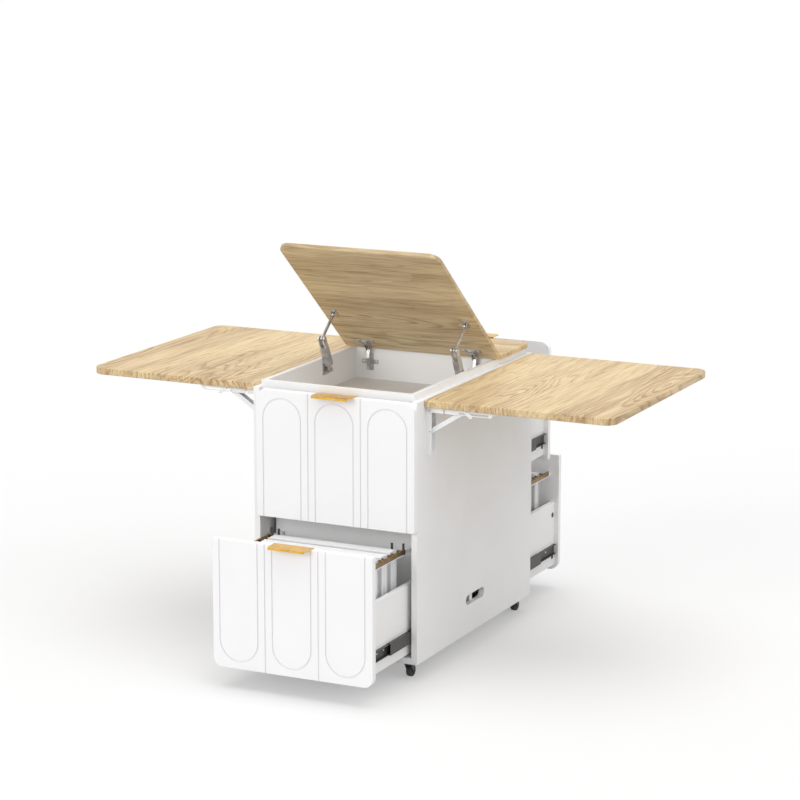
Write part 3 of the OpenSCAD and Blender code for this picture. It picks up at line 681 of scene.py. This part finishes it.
def rack():
    """The notched strip that caps a rail: the bars hang in its notches."""
    wall, notch_half, tooth = 0.9, 2.6, 3.4
    strip = block((RAIL_X - wall, RACK_START, RAIL_TOP - 6),
                  (RAIL_X + RAIL_T + wall, RACK_END, RAIL_TOP + 2.4))
    notches = range(FILE_FIRST - NOTCH_PITCH, RACK_END, NOTCH_PITCH)
    for notch in notches:
        cut_at(1, notch - notch_half, notch + notch_half)
    pick(lambda at, normal: normal.z > SQUARE
         and min(abs(at.y - notch) for notch in notches) > notch_half)
    pull(z=tooth)
    return ease(strip, 0.4)


def rail_stop():
    """The upright behind the last file, with a rounded head and a foot on the rail."""
    thick, foot_top = 5, RAIL_TOP + 4
    post = block((RAIL_X - 1, RACK_END - 1, RAIL_TOP - 8),
                 (RAIL_X + 4, RACK_END - 1 + thick, RAIL_TOP + 21))
    cut_at(2, foot_top)
    pick(lambda at, normal: normal.y > SQUARE and at.z < foot_top)
    pull(y=thick)
    return ease(post, 1.2, 3)


def sleeve():
    """A card sleeve, open at its top and ends, narrowing to a fold, with a hem round each bar."""
    bottom = RAIL_TOP - FILE_HANG
    fold = bottom + 6
    card = block((-CARD_REACH, -FILE_T / 2, bottom), (CARD_REACH, FILE_T / 2, RAIL_TOP + 2))
    cut_at(2, RAIL_TOP - 100, fold)
    for wanted, share in ((lambda at, normal: at.z < fold, 0.36),
                          (lambda at, normal: normal.z < -SQUARE, 0.5)):
        pick(wanted)
        bpy.ops.transform.resize(value=(1, share, 1), center_override=(0, 0, 0))
    pick(lambda at, normal: normal.z > SQUARE or abs(normal.x) > SQUARE)
    bpy.ops.mesh.delete(type="FACE")
    parts = [applied(card, "SOLIDIFY", thickness=0.9 * mm, offset=-1)]
    hem_half = 1.7
    for side in both:
        y = side * NOTCH_PITCH
        hem = block((-CARD_REACH, y - hem_half, RAIL_TOP - 8),
                    (CARD_REACH, y + hem_half, RAIL_TOP + 6))
        parts.append(ease(hem, 1.2, 3))
    return join_pieces(parts, "sleeve")


def sheets():
    """The papers in a sleeve, as six bundles whose edges don't quite line up."""
    bundles = []
    count, thick, between, margin, leaf = 6, 4.8, 0.25, 3, 1.2
    for i in range(count):
        y = (i - (count - 1) / 2) * (thick + between)
        top = RAIL_TOP + 5.6 + 1.3 * math.sin(i * 2.1)
        # The outer bundles end higher, where the sleeve narrows
        low = RAIL_TOP - 196 + 4 * abs(y)
        slip = 1.2 * math.sin(i * 1.7)
        bundle = block((-CARD_REACH + margin + slip, y - thick / 2, low),
                       (CARD_REACH - margin + slip, y + thick / 2, top))
        cut_at(1, y - leaf, y, y + leaf)
        pick(lambda at, normal: normal.z > SQUARE and abs(at.y - y - leaf / 2) < 0.5)
        pull(z=0.5)
        bundles.append(ease(bundle, 0.15, 1))
    return join_pieces(bundles, "sheets")


def hanging_bars():
    """The two flat bars of a file: a blade in the hem and a neck at each end for a notch."""
    bars = []
    half, past_rail, neck, blade = 0.9, 5, RAIL_X - 2.5, 10
    for side in both:
        y = side * NOTCH_PITCH
        bar = block((-RAIL_X - past_rail, y - half, RAIL_TOP + 3),
                    (RAIL_X + past_rail, y + half, RAIL_TOP + 5.4))
        cut_at(0, -neck, neck)
        pick(lambda at, normal: normal.z < -SQUARE and abs(at.x) < neck)
        pull(z=-blade)
        bars.append(ease(bar, 0.3, 1))
    return join_pieces(bars, "bars")


def label_tab(x):
    """An upright label holder on the last file's rear hem, its face sunk inside a frame."""
    y, half_wide, half_thick, frame_wide, sunk = NOTCH_PITCH, 2.8, 1.2, 0.8, 0.5
    tab = block((x - half_wide, y - half_thick, RAIL_TOP + 4),
                (x + half_wide, y + half_thick, RAIL_TOP + 22))
    pick(lambda at, normal: normal.y < -SQUARE)
    bpy.ops.mesh.inset(thickness=frame_wide * mm)
    bpy.ops.transform.translate(value=(0, sunk * mm, 0))
    return ease(tab, 0.3)


def mirrored(source):
    """The same piece for the drawer's other side, its faces turned outwards again."""
    twin = copied(source, source.matrix_world)
    only(twin)
    bpy.ops.object.mode_set(mode="EDIT")
    bpy.ops.mesh.select_all(action="SELECT")
    bpy.ops.transform.resize(value=(-1, 1, 1), center_override=(0, 0, 0))
    bpy.ops.mesh.flip_normals()
    bpy.ops.object.mode_set(mode="OBJECT")
    return twin


def along_files(source, places):
    """Copies of a piece of the first file at the places of others, counted from 0."""
    return [copied(source, Matrix.Translation((0, (FILE_FIRST + i * FILE_PITCH) * mm, 0)))
            for i in places]


TAB_X = 157
every = range(FILE_COUNT)
last = (FILE_COUNT - 1,)
sleeves = along_files(sleeve(), every)
papers = along_files(sheets(), every)
file_bars = along_files(hanging_bars(), every)
pairs = []
for make in (rail, rack, rail_stop):
    part = make()
    pairs.append([part, mirrored(part)])
rail_pair, rack_pair, stop_pair = pairs
tabs = [piece for x in (-TAB_X, TAB_X) for piece in along_files(label_tab(x), last)]


def beside_box(source, out, places, size):
    """Copies of source on both sides of a drawer box, out from its side, at each (y, z)."""
    return [copied(source, facing((side * (BOX_X + out), y, z), (side, 0, 0), size))
            for side in both for y, z in places]


CAP_PLACES = ((11, 39), (11, 157))
SLIDE_SCREW_PLACES = ((60, 63.3), (97, 63.3), (250, 63.3))
SLIDE_PIN_PLACES = ((54, 67), (71, 67), (240, 67))
RUNNER_FACE = 1.3  # out from the box's side, as is the next
MID_FACE = 10.8

for drawer in PULLS:
    caps = beside_box(CAP, 0, CAP_PLACES, 1.0)
    fitted(caps, drawer, "caps", BLACK_PLASTIC)
    slide_screws = beside_box(SCREW, RUNNER_FACE, SLIDE_SCREW_PLACES, MEDIUM_HEAD)
    fitted(slide_screws, drawer, "slide_screws", BRIGHT)
    pins = beside_box(RIVET, MID_FACE, SLIDE_PIN_PLACES, SMALL_HEAD)
    fitted(pins, drawer, "slide_rivets", BRIGHT, travel=0.5, body="mids_")
    if drawer.endswith("low"):
        fitted(sleeves, drawer, "sleeves", CARD, stands_for="_files")
        fitted(papers, drawer, "sheets", PAPER)
        fitted(file_bars, drawer, "file_bars", BRONZE)
        fitted(tabs, drawer, "label_tabs", BLACK_PLASTIC)
        fitted(rail_pair, drawer, "rail_bars", WHITE_METAL, stands_for="_rails")
        fitted(rack_pair, drawer, "racks", BRONZE)
        fitted(stop_pair, drawer, "rail_stops", BLACK_STEEL)

# The pieces that only served as patterns are removed
for piece in list(bpy.data.objects):
    if piece.type == "MESH" and body_of(piece) is None:
        bpy.data.objects.remove(piece)


# Setting: sizes and places are in metres

def seen_directly(tree):
    """1 where the camera sees a surface, also in gloss or through glass, and 0 elsewhere."""
    path = tree.nodes.new("ShaderNodeLightPath").outputs
    seen_in_gloss = reckon(tree, "MAXIMUM", path["Is Glossy Ray"], path["Is Transmission Ray"])
    return reckon(tree, "MAXIMUM", path["Is Camera Ray"], seen_in_gloss)


start_clean()
bpy.ops.mesh.primitive_plane_add(size=160, location=(0, 40, 0))
floor = bpy.context.object
floor.name = "floor"
floor_material = bpy.data.materials.new("studio_floor")
floor_material.use_nodes = True
tree = floor_material.node_tree
tree.nodes.remove(tree.nodes["Principled BSDF"])
grey, shine = 0.58, 0.305  # in the studio's light they add up to about white
ground = add_node(tree, "ShaderNodeBsdfDiffuse", Color=opaque((grey, grey, grey)))
glow = add_node(tree, "ShaderNodeEmission", Color=opaque((1, 1, 1)),
                Strength=times(tree, seen_directly(tree), shine))
both_shaders = tree.nodes.new("ShaderNodeAddShader")
tree.links.new(ground.outputs[0], both_shaders.inputs[0])
tree.links.new(glow.outputs[0], both_shaders.inputs[1])
tree.links.new(both_shaders.outputs[0], tree.nodes["Material Output"].inputs["Surface"])
floor.data.materials.append(floor_material)

# The world lights the cabinet at room_light and is seen as plain white
room_light = 0.57
world = bpy.data.worlds.new("studio")
bpy.context.scene.world = world
world.use_nodes = True
tree = world.node_tree
background = tree.nodes["Background"]
background.inputs["Color"].default_value = (1, 1, 1, 1)
room = plus(tree, room_light, times(tree, seen_directly(tree), 1 - room_light))
tree.links.new(room, background.inputs["Strength"])


def sun(name, toward, width, strength):
    """A wide soft sun: toward points from the object to the light, width is in degrees."""
    light = bpy.data.lights.new(name, "SUN")
    light.angle = math.radians(width)
    light.energy = strength
    lamp = bpy.data.objects.new(name, light)
    bpy.context.collection.objects.link(lamp)
    lamp.location = Vector(toward) * 4
    lamp.rotation_mode = "QUATERNION"
    lamp.rotation_quaternion = Vector(toward).to_track_quat("Z", "Y")


sun("overhead", (0, 0, 1), 50, 1.25)
sun("front", (-0.32, -0.9, 0.32), 34, 1.0)
sun("right", (0.75, -0.3, 0.55), 60, 0.75)

# The camera that the photo's straight edges gave. Its focal length is in pixels of the picture.
PICTURE = 800
FOCAL = 2816.1
SENSOR = 36
TILT_DOWN = math.radians(12.058)
TURN = math.radians(25.847)

camera = bpy.data.cameras.new("camera")
camera.sensor_width = SENSOR
camera.lens = FOCAL / PICTURE * SENSOR
camera.clip_end = 200
eye = bpy.data.objects.new("camera", camera)
bpy.context.collection.objects.link(eye)
eye.location = (3.0828, -6.3463, 2.1304)
eye.rotation_euler = (QUARTER - TILT_DOWN, 0, TURN)
bpy.context.scene.camera = eye
bpy.context.scene.view_settings.view_transform = "Standard"
